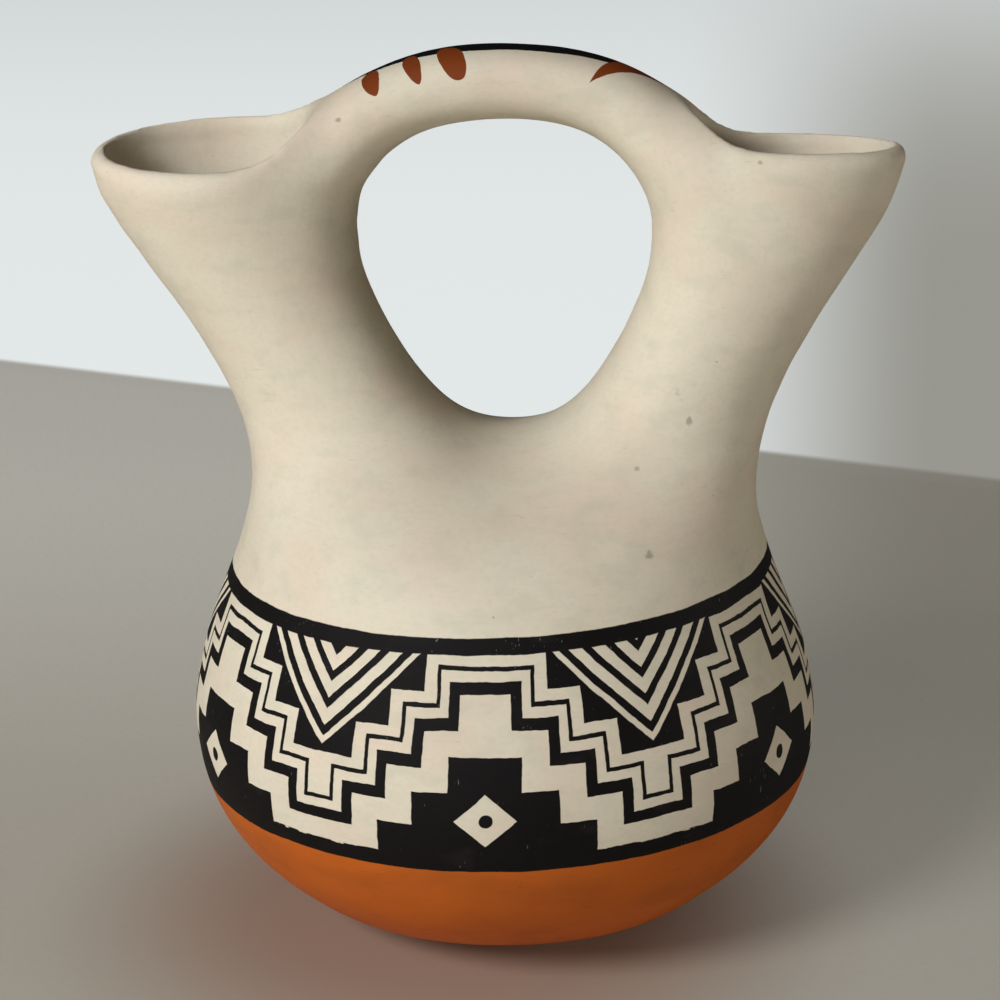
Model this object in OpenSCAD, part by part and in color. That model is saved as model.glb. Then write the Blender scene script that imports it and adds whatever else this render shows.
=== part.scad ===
// Double spouted wedding vase, hand built in clay.
// A round bowl carries a painted wall, a shoulder that forks into two hollow necks,
// two flared spouts, and one arched coil of clay that ties the spouts together.
// Origin at the middle of the foot, +Z up, +X towards the right spout.

/* [Bowl] */
// Diameter of the flat foot
foot_d = 49; // [39:1:60]
// Diameter of the belly at its widest
belly_d = 110; // [100:1:122]
// Height of the widest part of the belly
belly_z = 35.5; // [30:0.5:42]
// Thickness of the clay under the cavity
floor_t = 7; // [5:0.5:10]
// How far below the belly's widest level the bowl ends and the painted wall is laid on
bowl_drop = 7.5; // [1:0.5:14]
// Thickness of the wall
wall = 4.6; // [3.6:0.1:6]

/* [Shoulder] */
// Height where the round wall ends and the shoulder begins
shoulder_z = 65; // [58:0.5:70]
// Width of the vase at its waist
waist_w = 87.5; // [78:0.5:96]
// Rise from the round wall to the waist
waist_rise = 13; // [9:0.5:19]
// Rise from the waist to where the front and back have drawn in to the necks
neck_rise = 12; // [6:0.5:22]

/* [Spouts] */
// Width across the tips of both mouths
tip_span = 137.5; // [124:0.5:152]
// Rise from the window's widest level to the rims at their tips
tip_rise = 16.8; // [13:0.1:21]
// Stretch of a wave, in degrees, that the flare of the spouts follows
flare_sweep = 157; // [124:1:172]
// Front to back size that the necks are rounded from
neck_depth = 61; // [52:0.5:70]
// How far the rounding of each neck reaches in from the window
neck_round = 30; // [22:0.5:36]
// Front to back size that the cavity in the necks is rounded from
bore_depth = 39; // [34:0.5:42]
// How far the rounding of that cavity reaches in from the window
bore_round = 12; // [8:0.5:16]
// Front to back size that the cavity opens to at the mouths
mouth_depth = 51; // [44:0.5:56]
// Length of the handle's root between its joint and the mouth
root_l = 5.5; // [3:0.5:8]
// Thickness of the rounded lip
lip_t = 3.8; // [3:0.1:4.6]
// How far the left rim dips towards the front, in degrees
left_dip = 7.5; // [0:0.5:10]
// How far the right rim dips towards the front, in degrees
right_dip = -2.5; // [-8:0.5:0]

/* [Window] */
// Width of the window between the spouts
window_w = 50; // [44:0.5:54]
// Rise from the waist to the saddle, the lowest point of the window
saddle_rise = 6.6; // [4:0.1:12]
// Rise from the saddle to the window's widest level
window_drop = 33.4; // [28:0.1:38]
// Rise from that level to the top of the window
window_rise = 20.7; // [17:0.1:24]
// How far the window sits off the middle, towards the right
window_drift = 1.2; // [0:0.1:2.4]

/* [Handle] */
// Height of the clay over the window, up to the crest of the handle
handle_h = 12.6; // [9:0.1:16]
// Width of the handle's arch at the level of the rims
arch_w = 76.5; // [68:0.5:85]
// How softly the arch runs out into the rims
arch_blend = 3; // [2:0.5:5]
// Front to back size that the handle is rounded from
handle_depth = 48; // [40:0.5:56]
// How far the rounding of the crest reaches down the handle
crest_round = 8; // [6:0.5:10]
// Distance over which the crest opens into the left mouth
left_run = 11; // [9:0.5:16]
// Distance over which the crest opens into the right mouth
right_run = 20; // [14:0.5:23]
// Distance over which the lip rounds up from the crest
bead_run = 14; // [10:0.5:18]
// Width between the two joints where the coil is pressed onto the spouts
coil_w = 46; // [40:0.5:50]

/* [Hidden] */
$fn = 128;

// Colours of the bare clays
TERRACOTTA = [0.72, 0.42, 0.26];
CREAM = [0.90, 0.84, 0.74];
COIL = [0.86, 0.79, 0.69];

// Powers of the curves, from a lozenge at 1 through an ellipse at 2 to a box
BOWL_POWER = 2.2;
ARCH_POWER = 2.4;
ROUND_POWER = 2;
SPOUT_POWER = 2.6;
BORE_POWER = 3.2;

// Radii and half sizes
foot_r = foot_d/2;
belly_r = belly_d/2;
waist_r = waist_w/2;
tip_r = tip_span/2;
neck_y = neck_depth/2;
bore_y = bore_depth/2;
mouth_y = mouth_depth/2;
handle_y = handle_depth/2;
window_x = window_w/2;
arch_x = arch_w/2;
coil_x = coil_w/2;
mouth_x = coil_x + root_l;
lip_h = lip_t/2;

// Heights, each stacked on the one that carries it
bowl_h = belly_z - bowl_drop;
waist_z = shoulder_z + waist_rise;
neck_z = waist_z + neck_rise;
saddle_z = waist_z + saddle_rise;
window_z = saddle_z + window_drop;
tip_z = window_z + tip_rise;
rim_z = tip_z - lip_h;
crest_z = window_z + window_rise + handle_h;

// Half height of the rounded curve that the bowl follows down to its foot
bowl_fall = belly_z/pow(1 - pow(foot_r/belly_r, BOWL_POWER), 1/BOWL_POWER);

// Shares of a length or an angle that the blends run over
fork_share = 1.4;
open_share = 1.35;
crest_start_share = 0.25;
bore_lead_share = 1.3;
drift_share = 0.9;
// How much the window's corners are drawn in, or let out, from an ellipse
top_pinch_share = -0.5;
drop_pinch_share = 0.8;
// Angle below the level of the window's middle where the cavity starts to close
bore_turn = -15;

// Runs over which the shoulder forks, and the window's drift fades
fork_run = fork_share*(saddle_z - shoulder_z);
drift_run = drift_share*window_w;

// Steps of the meshes
BOWL_STEPS = 10;
WALL_STEPS = 12;
RIB_STEPS = 16;
RING_STEPS = 12;
WAIST_STEPS = 4;
FLARE_STEPS = 12;
RIM_STEPS = 16;
ROOT_STEPS = 3;
ARCH_STEPS = 18;
LIP_STEPS = 5;
HALVINGS = 24;

// A smooth step from 0 to 1
function ease(t) = let (c = min(max(t, 0), 1)) c*c*(3 - 2*c);
function mix(a, b, t) = a + (b - a)*t;
function square(v) = v*v;

// Radius of the round body, and half width of the spouts, at a height
function outer_r(z) =
  z < belly_z ? belly_r*pow(max(0, 1 - pow((belly_z - z)/bowl_fall, BOWL_POWER)), 1/BOWL_POWER)
  : z < waist_z ? mix(belly_r, waist_r, ease((z - belly_z)/(waist_z - belly_z)))
  : let (u = min(1, (z - waist_z)/(rim_z - waist_z)))
    mix(waist_r, tip_r, (1 - cos(flare_sweep*u))/(1 - cos(flare_sweep)));

// Radius of the cavity in the round body at a height
function cavity_r(z) =
  z < belly_z ? (belly_r - wall)*sqrt(max(0, 1 - square((belly_z - z)/(belly_z - floor_t))))
  : outer_r(z) - wall;

// Thickness of the wall at a height, thinner towards the lip
function skin_t(z) = mix(wall, lip_t, ease((z - window_z)/(rim_z - window_z)));

// Half depth of the clay at a height, from the round body into the necks and the handle
joint_u = (shoulder_z - belly_z)/(waist_z - belly_z);
joint_r = outer_r(shoulder_z);
joint_slope = (waist_r - belly_r)*6*joint_u*(1 - joint_u)/(waist_z - belly_z);
crest_rise = crest_z - tip_z;
function half_depth(z) =
  let (u = min(1, (z - shoulder_z)/(neck_z - shoulder_z)))
  let (lean = joint_slope*(neck_z - shoulder_z)*u*square(1 - u))
  let (start_z = tip_z - crest_start_share*crest_rise)
  mix(joint_r, neck_y, ease(u)) + lean + (handle_y - neck_y)*ease((z - start_z)/crest_rise);

// Height of the arch along x, over the handle and down onto the rims, and the same line
// brought to the crest's height and down by the bead that rounds the lip
function arch_z(x) =
  let (rise = crest_rise*(1 - pow(abs(x)/arch_x, ARCH_POWER)))
  tip_z + (rise + sqrt(square(rise) + square(arch_blend)))/2;
crest_gap = arch_z(0) - crest_z;
function bead_h(x) = lip_h*ease((abs(x) - mouth_x)/bead_run);
function crest_line(x) = arch_z(x) - crest_gap - bead_h(x);

// Angle of a point about the window's middle, seen from the front
function turn_of(x, z) = atan2(z - window_z, x);

// Distance from the window's middle to its edge, at an angle
function window_r(turn) =
  let (reach = turn > 0 ? window_rise : window_drop)
  let (pinch = turn > 0 ? top_pinch_share : drop_pinch_share)
  let (across = square(cos(turn)/window_x), along = square(sin(turn)/reach))
  1/sqrt(across + along + pinch*across*along*window_x*reach);

// The cavity's edge round the window: a wall away below, drawn out to the mouth above
bore_x = mouth_x + lip_t;
bore_end = turn_of(bore_x, crest_line(bore_x));
bore_reach = norm([bore_x, crest_line(bore_x) - window_z]);
bore_gain = bore_reach - window_r(bore_end) - wall;
function bore_swing(turn) = ease((turn - bore_turn)/(bore_end - bore_turn));
function bore_r(turn) = window_r(turn) + wall + bore_gain*bore_swing(turn);

// How the skins close towards the crest, and open again where the crest becomes a mouth
function top_of(x, z) =
  let (run = max(0, abs(x) - mouth_x)/(x < 0 ? left_run : right_run))
  let (under = max(0, crest_line(x) - z) + open_share*crest_round*run*(1 + run*run))
  under/(under + crest_round*ease((z - saddle_z)/window_drop));

// Half depth of the outer skin at a point of the front view
function outer_y(x, z) =
  let (r = norm([x, z - window_z]))
  let (q = max(0, square(r) - square(window_r(turn_of(abs(x), z)))))
  let (k = square(neck_round*ease((z - shoulder_z)/fork_run)))
  let (power = mix(ROUND_POWER, SPOUT_POWER, ease((z - shoulder_z)/(tip_z - shoulder_z))))
  let (side = max(0, 1 - pow(abs(x)/outer_r(z), power)))
  half_depth(z)*sqrt(side*top_of(x, z)*(q > 0 ? q/(q + k) : 0));

// Half depth of the cavity at a point of the front view, at least a wall inside the skin
function inner_y(x, z) =
  let (turn = turn_of(abs(x), z))
  let (r = norm([x, z - window_z]))
  let (q = max(0, square(r) - square(bore_r(turn))))
  let (mouth = ease((z - window_z)/tip_rise))
  let (k = square(bore_round*ease((z - shoulder_z)/fork_run)))
  let (bore_power = mix(ROUND_POWER, BORE_POWER, ease((z - shoulder_z)/(tip_z - shoulder_z))))
  let (power = mix(bore_power, SPOUT_POWER, mouth))
  let (side = max(0, 1 - pow(abs(x)/(outer_r(z) - skin_t(z)), power)))
  let (lead = bore_lead_share*(z - shoulder_z)/(neck_z - shoulder_z))
  let (depth = mix(mix(joint_r - wall, bore_y, ease(lead)), mouth_y, mouth))
  let (bore = depth*sqrt(side*mix(1, top_of(x, z), mouth)*(q > 0 ? q/(q + k) : 0)))
  max(0, min(bore, outer_y(x, z) - skin_t(z)));

// Height at which a silhouette, set in by the wall or not, meets a ray from the window
function seam_level(turn, inner, low, high, n) =
  let (z = (low + high)/2)
  let (r = outer_r(z) - (inner ? skin_t(z) : 0))
  n == 0 ? z
  : turn_of(r, z) < turn ? seam_level(turn, inner, z, high, n - 1)
  : seam_level(turn, inner, low, z, n - 1);

// The joints between the shoulder and the spouts lie square across the necks
neck_turn = turn_of(waist_r, waist_z);

// Paths that the outer ends of the ribs follow in the front view, as [x, z, open].
// The right half of the shoulder runs from the middle to the joint of the spout.
function shoulder_half(inner) =
  let (inset = inner ? wall : 0)
  let (r = joint_r - inset)
  let (seam = seam_level(neck_turn, inner, shoulder_z, tip_z, HALVINGS))
  concat(
    [for (i = [0:RING_STEPS - 1]) [r*sin(90*i/RING_STEPS), shoulder_z, true]],
    [for (i = [0:WAIST_STEPS])
      let (z = mix(shoulder_z, seam, i/WAIST_STEPS))
      [outer_r(z) - (inner ? skin_t(z) : 0), z, false]]);
function handed(path, hand) = [for (e = path) [hand*e[0], e[1], e[2]]];
function mirrored(path) = [for (i = [len(path) - 1:-1:1]) [-path[i][0], path[i][1], path[i][2]]];
function shoulder_path(inner) = let (half = shoulder_half(inner)) concat(mirrored(half), half);

// From the joint up the spout to its tip and along the rim to the mouth's inner end
function spout_path(inner) =
  let (seam = seam_level(neck_turn, inner, shoulder_z, tip_z, HALVINGS))
  let (top = crest_line(tip_r))
  let (tip = outer_r(top) - (inner ? skin_t(top) : 0))
  let (end = inner ? bore_x : mouth_x)
  concat(
    [for (i = [0:FLARE_STEPS - 1])
      let (z = mix(seam, top, i/FLARE_STEPS))
      [outer_r(z) - (inner ? skin_t(z) : 0), z, false]],
    [for (i = [0:RIM_STEPS])
      let (x = mix(tip, end, (1 - cos(180*i/RIM_STEPS))/2))
      [x, crest_line(x), i > 0 && i < RIM_STEPS]]);
// The root of the handle, from the mouth's inner end to the coil's joint
function root_path() = [for (i = [1:ROOT_STEPS])
  let (x = mix(mouth_x, coil_x, i/ROOT_STEPS)) [x, crest_line(x), false]];
function arch_path() = [for (i = [0:ARCH_STEPS])
  let (x = -coil_x*cos(180*i/ARCH_STEPS)) [x, crest_line(x), false]];

// One rib from the window's edge out to the path, on the front (-1) or back (1)
function rib(e, inner, side, dip) =
  let (turn = turn_of(e[0], e[1]), lift = turn_of(abs(e[0]), e[1]))
  let (near = inner ? bore_r(lift) : window_r(lift))
  let (far = norm([e[0], e[1] - window_z]))
  [for (j = [0:RIB_STEPS])
    let (r = mix(near, far, (1 - cos(180*j/RIB_STEPS))/2))
    let (x = r*cos(turn), z = window_z + r*sin(turn))
    let (shut = j == 0 || (j == RIB_STEPS && !e[2]))
    let (y = shut ? 0 : side*(inner ? inner_y(x, z) : outer_y(x, z)))
    [x + drift_of(r, lift, z), y, z + dip_of(x, y, z, dip)]];
// The tilt of a rim, which fades out down the spout and towards the handle
function dip_of(x, y, z, dip) =
  tan(dip)*y*ease((abs(x) - coil_x)/(arch_x - coil_x))*ease((z - window_z)/(tip_z - window_z));

// The window's sideways drift, whole at its edge and gone a run away
function drift_of(r, turn, z) =
  window_drift*max(0, 1 - (r - window_r(turn))/drift_run)*ease((z - shoulder_z)/fork_run);

ROW = 2*(RIB_STEPS + 1);
function skin_points(path, inner, dip) =
  [for (e = path) for (side = [-1, 1]) for (p = rib(e, inner, side, dip)) p];
// Number of a point: the front and back of a rib share its closed ends
function spot(path, i, j, back) =
  i*ROW + j + (back && j > 0 && (j < RIB_STEPS || path[i][2]) ? RIB_STEPS + 1 : 0);
// Two triangles, without those that have shrunk to a line
function patch(a, b, c, d) =
  [for (t = [[a, b, c], [a, c, d]]) if (t[0] != t[1] && t[1] != t[2] && t[2] != t[0]) t];
function flipped(faces) = [for (f = faces) [for (i = [len(f) - 1:-1:0]) f[i]]];
function shifted(faces, by) = [for (f = faces) [for (v = f) v + by]];
function skin_faces(path) = [
  for (i = [0:len(path) - 2]) for (j = [0:RIB_STEPS - 1]) for (back = [false, true])
    let (a = spot(path, i, j, back), b = spot(path, i + 1, j, back))
    let (c = spot(path, i + 1, j + 1, back), d = spot(path, i, j + 1, back))
    for (f = back ? patch(d, c, b, a) : patch(a, b, c, d)) f];
// The flat ring between the two skins at a joint across a neck
function seam_ring(outer, inner, i, k, by) = [
  for (j = [0:RIB_STEPS - 1]) for (back = [false, true])
    let (a = spot(outer, i, j, back), b = spot(outer, i, j + 1, back))
    let (c = spot(inner, k, j + 1, back) + by, d = spot(inner, k, j, back) + by)
    for (f = back ? patch(d, c, b, a) : patch(a, b, c, d)) f];
// The flat end of a solid stretch of the coil
function cap(path, i) = [concat(
  [for (j = [0:RIB_STEPS]) spot(path, i, j, false)],
  [for (j = [RIB_STEPS - 1:-1:1]) spot(path, i, j, true)])];

module base_bowl() {
  foot_turn = asin(belly_z/bowl_fall);
  top_turn = asin((belly_z - bowl_h)/bowl_fall);
  bowl_turn = asin((belly_z - bowl_h)/(belly_z - floor_t));
  levels = [for (i = [0:BOWL_STEPS]) belly_z - bowl_fall*sin(mix(foot_turn, top_turn, i/BOWL_STEPS))];
  color(TERRACOTTA)
    rotate_extrude()
      polygon(concat(
        [[0, 0]],
        [for (z = levels) [outer_r(z), z]],
        [for (i = [0:BOWL_STEPS])
          let (t = mix(bowl_turn, 90, i/BOWL_STEPS))
          [(belly_r - wall)*cos(t), belly_z - (belly_z - floor_t)*sin(t)]]));
}

module body_wall() {
  levels = [for (i = [0:WALL_STEPS]) mix(bowl_h, shoulder_z, i/WALL_STEPS)];
  color(CREAM)
    rotate_extrude()
      polygon(concat(
        [for (z = levels) [outer_r(z), z]],
        [for (i = [WALL_STEPS:-1:0]) [cavity_r(levels[i]), levels[i]]]));
}

module shoulder() {
  outer = shoulder_path(false);
  inner = shoulder_path(true);
  count = len(outer);
  base = count*ROW;
  ring = [
    for (i = [0:count - 2]) if (outer[i][2] || outer[i + 1][2]) for (back = [false, true])
      let (a = spot(outer, i, RIB_STEPS, back), b = spot(outer, i + 1, RIB_STEPS, back))
      let (c = spot(inner, i + 1, RIB_STEPS, back) + base)
      let (d = spot(inner, i, RIB_STEPS, back) + base)
      for (f = back ? patch(d, c, b, a) : patch(a, b, c, d)) f];
  color(CREAM)
    polyhedron(
      points = concat(skin_points(outer, false, 0), skin_points(inner, true, 0)),
      faces = concat(
        skin_faces(outer),
        flipped(shifted(skin_faces(inner), base)),
        ring,
        seam_ring(outer, inner, 0, 0, base),
        flipped(seam_ring(outer, inner, count - 1, count - 1, base))));
}

// The spout on the right (1) or on the left (-1)
module spout(hand, dip) {
  outer = handed(concat(spout_path(false), root_path()), hand);
  inner = handed(spout_path(true), hand);
  base = len(outer)*ROW;
  lip_base = base + len(inner)*ROW;
  points = concat(skin_points(outer, false, dip), skin_points(inner, true, dip));
  // The lip is a half round bead from the outer skin over to the inner one
  lip_row = 2*(LIP_STEPS - 1);
  lip_points = [
    for (i = [0:RIM_STEPS]) for (back = [false, true]) for (m = [1:LIP_STEPS - 1])
      let (a = points[spot(outer, FLARE_STEPS + i, RIB_STEPS, back)])
      let (b = points[spot(inner, FLARE_STEPS + i, RIB_STEPS, back) + base])
      let (t = 180*m/LIP_STEPS)
      mix(a, b, (1 - cos(t))/2) + [0, 0, bead_h(outer[FLARE_STEPS + i][0])*sin(t)]];
  function bead(i, m, back) =
    m == 0 ? spot(outer, FLARE_STEPS + i, RIB_STEPS, back)
    : m == LIP_STEPS ? spot(inner, FLARE_STEPS + i, i == RIM_STEPS ? 0 : RIB_STEPS, back) + base
    : lip_base + i*lip_row + m - 1 + (back && i > 0 && i < RIM_STEPS ? LIP_STEPS - 1 : 0);
  lip = [
    for (i = [0:RIM_STEPS - 1]) for (m = [0:LIP_STEPS - 1]) for (back = [false, true])
      let (a = bead(i, m, back), b = bead(i + 1, m, back))
      let (c = bead(i + 1, m + 1, back), d = bead(i, m + 1, back))
      for (f = back ? patch(d, c, b, a) : patch(a, b, c, d)) f];
  // The cavity's last rib has no length: all its points are one
  last = (len(inner) - 1)*ROW;
  bore = [
    for (f = skin_faces(inner))
      let (g = [for (v = f) min(v, last)])
      if (g[0] != g[1] && g[1] != g[2] && g[2] != g[0]) g];
  faces = concat(
    skin_faces(outer),
    flipped(shifted(bore, base)),
    lip,
    seam_ring(outer, inner, 0, 0, base),
    flipped(cap(outer, len(outer) - 1)));
  polyhedron(points = concat(points, lip_points), faces = hand > 0 ? faces : flipped(faces));
}

module right_spout() {
  color(CREAM) spout(1, right_dip);
}

module left_spout() {
  color(CREAM) spout(-1, left_dip);
}

module handle() {
  path = arch_path();
  color(COIL)
    polyhedron(
      points = skin_points(path, false, 0),
      faces = concat(flipped(skin_faces(path)), flipped(cap(path, 0)), cap(path, ARCH_STEPS)));
}

base_bowl();
body_wall();
shoulder();
left_spout();
right_spout();
handle();
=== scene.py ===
"""Finishes a hand built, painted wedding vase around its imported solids."""

import math
from itertools import pairwise

import bmesh
import bpy
from bpy.props import FloatProperty, FloatVectorProperty, IntProperty, PointerProperty
from mathutils import Matrix, Vector, bvhtree, kdtree, noise


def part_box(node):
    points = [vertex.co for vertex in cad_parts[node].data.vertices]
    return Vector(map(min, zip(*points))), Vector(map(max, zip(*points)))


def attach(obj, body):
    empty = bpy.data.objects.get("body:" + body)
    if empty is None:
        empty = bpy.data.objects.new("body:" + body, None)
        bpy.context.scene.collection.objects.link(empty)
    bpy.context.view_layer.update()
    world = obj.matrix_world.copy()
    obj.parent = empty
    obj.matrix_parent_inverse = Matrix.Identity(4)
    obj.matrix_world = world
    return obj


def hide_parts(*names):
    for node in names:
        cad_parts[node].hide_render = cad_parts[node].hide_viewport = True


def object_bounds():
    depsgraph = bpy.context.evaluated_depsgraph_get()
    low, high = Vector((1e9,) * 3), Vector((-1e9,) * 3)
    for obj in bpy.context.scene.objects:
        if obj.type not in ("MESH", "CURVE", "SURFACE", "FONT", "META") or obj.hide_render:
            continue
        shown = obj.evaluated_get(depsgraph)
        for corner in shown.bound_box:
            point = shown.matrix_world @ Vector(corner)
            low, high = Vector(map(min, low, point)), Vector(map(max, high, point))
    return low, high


bl_info = {
    "name": "Painted Wedding Vase",
    "version": (1, 0, 0),
    "blender": (4, 5, 0),
    "location": "View3D > Sidebar > Vase",
    "description": "Smooths, slips and paints a double spouted vase, and sets it on a table",
    "category": "Add Mesh",
}

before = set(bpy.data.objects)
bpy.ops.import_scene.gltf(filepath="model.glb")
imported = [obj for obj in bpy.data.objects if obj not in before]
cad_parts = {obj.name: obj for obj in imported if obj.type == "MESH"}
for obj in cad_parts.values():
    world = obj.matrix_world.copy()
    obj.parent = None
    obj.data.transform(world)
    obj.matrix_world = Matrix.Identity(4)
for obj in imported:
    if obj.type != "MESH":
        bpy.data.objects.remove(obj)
CAD_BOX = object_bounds()

MM = 0.001
DEGREES = 180 / math.pi
BODY = "root"
NODES = ("base_bowl", "body_wall", "shoulder", "left_spout", "right_spout", "handle")

# Levels of the joints across the round body
BOWL_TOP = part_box("base_bowl")[1].z
WALL_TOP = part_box("body_wall")[1].z
# Distances within which points and flat joints count as one
WELD = 0.001 * MM
FLAT = 0.05 * MM


class Joint:
    """A flat joint between two stretches of clay; its normal leaves the piece that it closes."""

    def __init__(self, place, normal):
        self.place = Vector(place)
        self.normal = Vector(normal).normalized()

    def height(self, point):
        """Distance of a point over the joint."""
        return (point - self.place).dot(self.normal)

    def turned(self):
        """The same joint, closing the piece on its other side."""
        return Joint(self.place, -self.normal)


def joint_between(piece, neighbour):
    """The joint that closes a piece, on the points that its solid shares with its neighbour's."""
    points = [vert.co.copy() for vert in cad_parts[piece].data.vertices]
    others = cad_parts[neighbour].data.vertices
    tree = kdtree.KDTree(len(others))
    for index, vert in enumerate(others):
        tree.insert(vert.co, index)
    tree.balance()
    shared = [point for point in points if tree.find(point)[2] < WELD]
    low = min(shared, key=lambda point: point.z)
    high = max(shared, key=lambda point: point.z)
    joint = Joint((low + high) / 2, (high - low).cross(Vector((0, 1, 0))))
    middle = sum(points, Vector()) / len(points)
    return joint.turned() if joint.height(middle) > 0 else joint


BOWL_JOINT = Joint((0, 0, BOWL_TOP), (0, 0, 1))
WALL_JOINT = Joint((0, 0, WALL_TOP), (0, 0, 1))
LEFT_NECK = joint_between("shoulder", "left_spout")
RIGHT_NECK = joint_between("shoulder", "right_spout")
LEFT_COIL = joint_between("left_spout", "handle")
RIGHT_COIL = joint_between("right_spout", "handle")
ALL_JOINTS = (BOWL_JOINT, WALL_JOINT, LEFT_NECK, RIGHT_NECK, LEFT_COIL, RIGHT_COIL)


def length(name, description, default):
    """A length that the panel offers."""
    return FloatProperty(name=name, description=description, default=default, unit="LENGTH")


def tint(name, description, default):
    """A colour that the panel offers."""
    return FloatVectorProperty(name=name, description=description, default=default, subtype="COLOR")


def angle(name, description, degrees):
    """An angle that the panel offers."""
    turn = math.radians(degrees)
    return FloatProperty(name=name, description=description, default=turn, subtype="ANGLE")


class VaseClay(bpy.types.PropertyGroup):
    """How finely and how evenly the clay is smoothed."""

    grain: length("Grain", "Size of the faces of the smoothed clay", 0.7 * MM)
    passes: IntProperty(
        name="Passes", description="How often the broad surfaces are rubbed smooth", default=44
    )
    lip_share: FloatProperty(
        name="Lip Share",
        description="Share of the rubbing that reaches the lips and the foot's edge",
        default=0.08,
        subtype="FACTOR",
    )
    lip_reach: length("Lip Reach", "Distance from a lip at which the rubbing is full", 9 * MM)
    lip_thinning: length(
        "Lip Thinning",
        "How much thinner than the wall the lips are drawn, on their inside",
        1.1 * MM,
    )
    wander: length("Wander", "How far the hand smoothed surface leaves an even one", 0.13 * MM)
    wander_span: length("Wander Span", "Size of the soft hollows that the hands leave", 22 * MM)
    heel: length("Heel", "How far the bowl swells just over the foot", 0.8 * MM)


class VaseSlip(bpy.types.PropertyGroup):
    """Colours of the slips, the paint and the bare clay."""

    cream: tint("Cream", "Burnished cream slip", (0.76, 0.69, 0.55))
    blush: tint("Blush", "Cream slip where the red clay warms it", (0.755, 0.63, 0.50))
    ash: tint("Ash", "Cream slip where the fire greyed it", (0.60, 0.575, 0.44))
    smoke: tint("Smoke", "Smudges and specks", (0.16, 0.12, 0.085))
    terracotta: tint("Terracotta", "Red slip of the bowl", (0.53, 0.118, 0.012))
    rust: tint("Rust", "Red slip of the handle's marks", (0.21, 0.042, 0.007))
    umber: tint("Umber", "Dark streaks in the red slip", (0.13, 0.035, 0.012))
    black: tint("Black", "Mineral paint", (0.004, 0.003, 0.003))
    clay: tint("Clay", "Bare clay inside", (0.36, 0.23, 0.14))


class VaseStage(bpy.types.PropertyGroup):
    """The camera, the table and the lights."""

    distance: length("Distance", "From the camera to its aim", 426.642 * MM)
    elevation: angle("Elevation", "Of the camera over the table", 17.46)
    azimuth: angle("Azimuth", "Of the camera round the vase, towards its right", 3.719)
    roll: angle("Roll", "Tilt of the camera", -0.725)
    lens: FloatProperty(
        name="Lens", description="Focal length", default=88.04, subtype="DISTANCE_CAMERA"
    )
    aim: FloatVectorProperty(
        name="Aim",
        description="Point that the camera looks at",
        default=(-0.57 * MM, -0.04 * MM, 72.304 * MM),
        subtype="TRANSLATION",
    )
    # The table's colour, and its painted shade to the right, away from the window
    table: tint("Table", "Its colour", (0.64, 0.60, 0.52))
    table_shade: tint(
        "Table Shade", "Its colour to the right, away from the window", (0.42, 0.40, 0.345)
    )
    # The pale ground's colour, and its painted shade to the right
    far: tint("Far", "The pale ground far behind the vase", (0.825, 0.865, 0.865))
    far_shade: tint(
        "Far Shade", "The pale ground to the right, away from the window", (0.34, 0.335, 0.30)
    )
    fill: tint("Fill", "Light from all round the room", (0.016, 0.016, 0.015))


class Tone:
    """A number on its way through a graph; sums on it add the nodes that work them out."""

    def __init__(self, graph, socket):
        self.graph = graph
        self.socket = socket

    def sum(self, operation, *others):
        return self.graph.maths(operation, self, *others)

    def __add__(self, other):
        return self.sum("ADD", other)

    __radd__ = __add__

    def __sub__(self, other):
        return self.sum("SUBTRACT", other)

    def __rsub__(self, other):
        return self.graph.maths("SUBTRACT", other, self)

    def __mul__(self, other):
        return self.sum("MULTIPLY", other)

    __rmul__ = __mul__

    def __truediv__(self, other):
        return self.sum("DIVIDE", other)

    def __pow__(self, other):
        return self.sum("POWER", other)

    def __abs__(self):
        return self.sum("ABSOLUTE")

    def __or__(self, other):
        """Paint where either is."""
        return self.sum("MAXIMUM", other)

    def floor(self):
        return self.sum("FLOOR")

    def wrap(self, low, high):
        return self.sum("WRAP", high, low)

    def ramp(self, low, high):
        """0 at low and 1 at high, with soft ends."""
        return self.graph.tone(
            "ShaderNodeMapRange",
            {"interpolation_type": "SMOOTHSTEP"},
            {"Value": self, "From Min": low, "From Max": high},
        )

    def under(self, edge):
        """1 under an edge and 0 over it, as crisp as a brush leaves it."""
        return (self - edge).ramp(CRISP, -CRISP)


class Graph:
    """The shader nodes of a material or of the room."""

    def __init__(self, owner):
        owner.use_nodes = True
        self.nodes = owner.node_tree.nodes
        self.links = owner.node_tree.links

    def node(self, kind, settings=None, inputs=None):
        """Adds a node, sets it up, and fills or links its sockets."""
        made = self.nodes.new(kind)
        for name, value in (settings or {}).items():
            setattr(made, name, value)
        for key, value in (inputs or {}).items():
            self.fill(made.inputs[key], value)
        return made

    def fill(self, socket, value):
        """Links a socket to a tone or another socket, or gives it a value."""
        if isinstance(value, Tone):
            value = value.socket
        if isinstance(value, bpy.types.NodeSocket):
            self.links.new(value, socket)
        elif socket.type == "RGBA" and len(value) == 3:
            socket.default_value = (*value, 1)
        else:
            socket.default_value = value

    def tone(self, kind, settings=None, inputs=None, output=0):
        """The number that a new node gives."""
        return Tone(self, self.node(kind, settings, inputs).outputs[output])

    def maths(self, operation, *values):
        return self.tone("ShaderNodeMath", {"operation": operation}, dict(enumerate(values)))

    def mix(self, share, under, over):
        """A share of one colour over another."""
        return self.node(
            "ShaderNodeMix",
            {"data_type": "RGBA"},
            {"Factor": share, 6: under, 7: over},
        ).outputs[2]


# Size of the smallest speck as a share of the usual one
SMALLEST = 0.4
# Half the span over which places with a speck turn into places without one
PICKED = 0.01


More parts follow.
